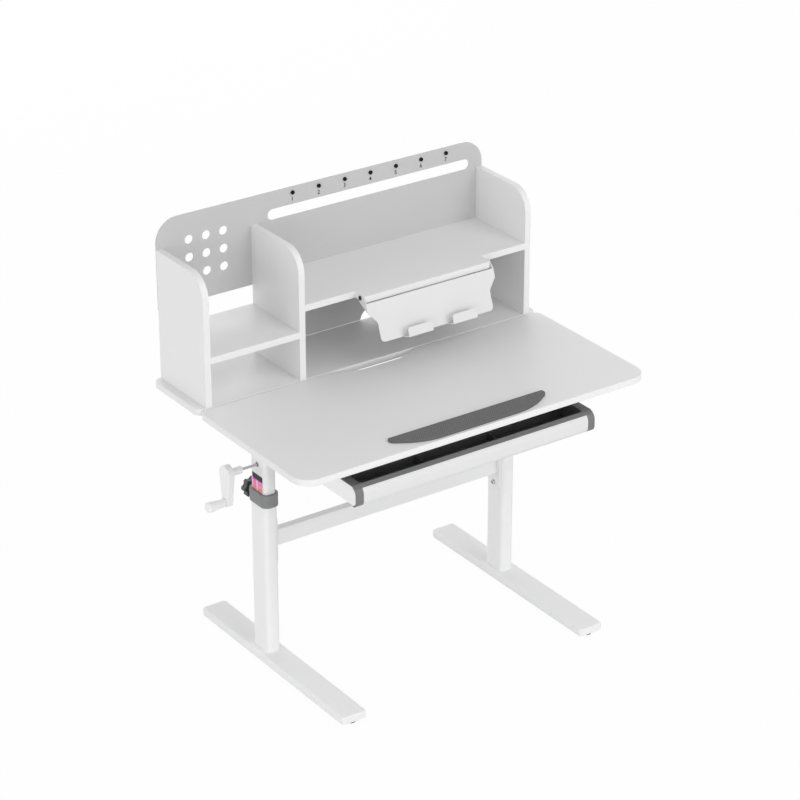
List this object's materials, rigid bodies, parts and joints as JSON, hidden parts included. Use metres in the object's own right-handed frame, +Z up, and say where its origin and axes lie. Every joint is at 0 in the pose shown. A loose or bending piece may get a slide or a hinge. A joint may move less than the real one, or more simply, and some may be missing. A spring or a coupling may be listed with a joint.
{
  "type": "student desk with hutch",
  "caption": "Crank-height student desk: tilting front board, pen drawer, book hutch with reading rest and pegboard back, on T-shaped telescopic steel legs.",
  "frame": {"origin": "middle of the bounding box, on the floor under the glides", "axes": "+X to the sitter's right, +Y to the back of the desk, +Z up"},
  "size_m": [0.914, 0.5952, 0.987],
  "materials": {
    "white_board": "white laminate, satin",
    "white_steel": "white powder coat",
    "white_plastic": "white moulded",
    "grey_sheet": "light grey powder coat",
    "grey_plastic": "mid grey moulded",
    "dark_plastic": "near black moulded",
    "steel": "zinc plated",
    "brass": "machined",
    "bearing_plastic": "natural nylon",
    "label_film": "printed film"
  },
  "bodies": {
    "base": {"foot_glides": "dark_plastic", "left_foot": "white_steel", "right_foot": "white_steel", "left_outer_leg": "white_steel", "right_outer_leg": "white_steel", "leg_collars": "grey_plastic", "crossbar": "white_steel", "crossbar_bolts": "steel", "nut_posts": "steel", "lift_nuts": "brass"},
    "lift": {"left_inner_leg": "white_steel", "right_inner_leg": "white_steel", "leg_plates": "white_steel", "screw_bearings": "bearing_plastic", "shaft_bushes": "brass", "left_rail": "white_steel", "right_rail": "white_steel", "cross_rails": "white_steel", "hinge_brackets": "steel", "hinge_pins": "steel", "prop_racks": "steel", "rear_board": "white_board", "rear_board_screws": "steel", "hutch_left_panel": "white_board", "hutch_divider": "white_board", "hutch_right_panel": "white_board", "left_shelf": "white_board", "book_shelf": "white_board", "rest_pivot_screws": "steel", "back_panel": "grey_sheet", "day_pegs": "dark_plastic", "back_panel_screws": "steel", "drawer_runners": "steel", "height_label": "label_film"},
    "top": {"front_board": "white_board", "edge_stopper": "grey_plastic", "hinge_leaves": "steel", "prop_brackets": "steel", "prop_pins": "steel"},
    "left_prop": {"left_prop": "steel"},
    "right_prop": {"right_prop": "steel"},
    "rest": {"reading_rest": "white_steel"},
    "drawer": {"drawer_front": "white_plastic", "drawer_caps": "grey_plastic", "drawer_sides": "white_steel", "drawer_tray": "dark_plastic", "drawer_slides": "steel"},
    "crank": {"crank_arm": "white_plastic", "crank_shaft": "steel", "grip_pin": "steel", "shaft_pinions": "steel"},
    "grip": {"crank_grip": "white_plastic"},
    "left_screw": {"left_lead_screw": "steel", "left_screw_gear": "steel"},
    "right_screw": {"right_lead_screw": "steel", "right_screw_gear": "steel"},
    "left_knob": {"left_knob": "dark_plastic"},
    "right_knob": {"right_knob": "dark_plastic"}
  },
  "joints": [
    {"name": "height_lift", "type": "slide", "parent": "base", "child": "lift", "axis": [0, 0, 1], "range_m": [-0.04, 0.16]},
    {"name": "crank_turn", "type": "hinge", "parent": "lift", "child": "crank", "pos_m": [-0.393, 0.0594, 0.4814], "axis": [1, 0, 0], "range_deg": [-1441, 5761]},
    {"name": "left_screw_turn", "type": "hinge", "parent": "lift", "child": "left_screw", "pos_m": [-0.3134, 0.0594, 0.3], "axis": [0, 0, 1], "range_deg": [-1441, 5761]},
    {"name": "right_screw_turn", "type": "hinge", "parent": "lift", "child": "right_screw", "pos_m": [0.3274, 0.0594, 0.3], "axis": [0, 0, 1], "range_deg": [-1441, 5761]},
    {"name": "grip_spin", "type": "hinge", "parent": "crank", "child": "grip", "pos_m": [-0.434, 0.0594, 0.4144], "axis": [1, 0, 0], "continuous": true},
    {"name": "top_tilt", "type": "hinge", "parent": "lift", "child": "top", "pos_m": [0.007, -0.2726, 0.601], "axis": [1, 0, 0], "range_deg": [0, 40]},
    {"name": "left_prop_swing", "type": "hinge", "parent": "top", "child": "left_prop", "pos_m": [-0.3134, -0.0386, 0.598], "axis": [1, 0, 0], "range_deg": [-1, 18]},
    {"name": "right_prop_swing", "type": "hinge", "parent": "top", "child": "right_prop", "pos_m": [0.3274, -0.0386, 0.598], "axis": [1, 0, 0], "range_deg": [-1, 18]},
    {"name": "rest_flip", "type": "hinge", "parent": "lift", "child": "rest", "pos_m": [0.1294, 0.084, 0.7894], "axis": [1, 0, 0], "range_deg": [-112, 0]},
    {"name": "drawer_slide", "type": "slide", "parent": "lift", "child": "drawer", "axis": [0, -1, 0], "range_m": [0, 0.15]},
    {"name": "left_knob_turn", "type": "hinge", "parent": "base", "child": "left_knob", "pos_m": [-0.3134, 0.1074, 0.40225], "axis": [0, 1, 0], "continuous": true},
    {"name": "right_knob_turn", "type": "hinge", "parent": "base", "child": "right_knob", "pos_m": [0.3274, 0.1074, 0.40225], "axis": [0, 1, 0], "continuous": true}
  ],
  "couplings": [
    {"joint": "crank_turn", "follows": "height_lift", "rad_per_m": 628.32},
    {"joint": "left_screw_turn", "follows": "height_lift", "rad_per_m": 628.32},
    {"joint": "right_screw_turn", "follows": "height_lift", "rad_per_m": 628.32},
    {"joint": "left_prop_swing", "follows": "top_tilt", "ratio": 0.4175},
    {"joint": "right_prop_swing", "follows": "top_tilt", "ratio": 0.4175},
    {"joint": "rest_flip", "follows": "top_tilt", "ratio": -2.75}
  ]
}
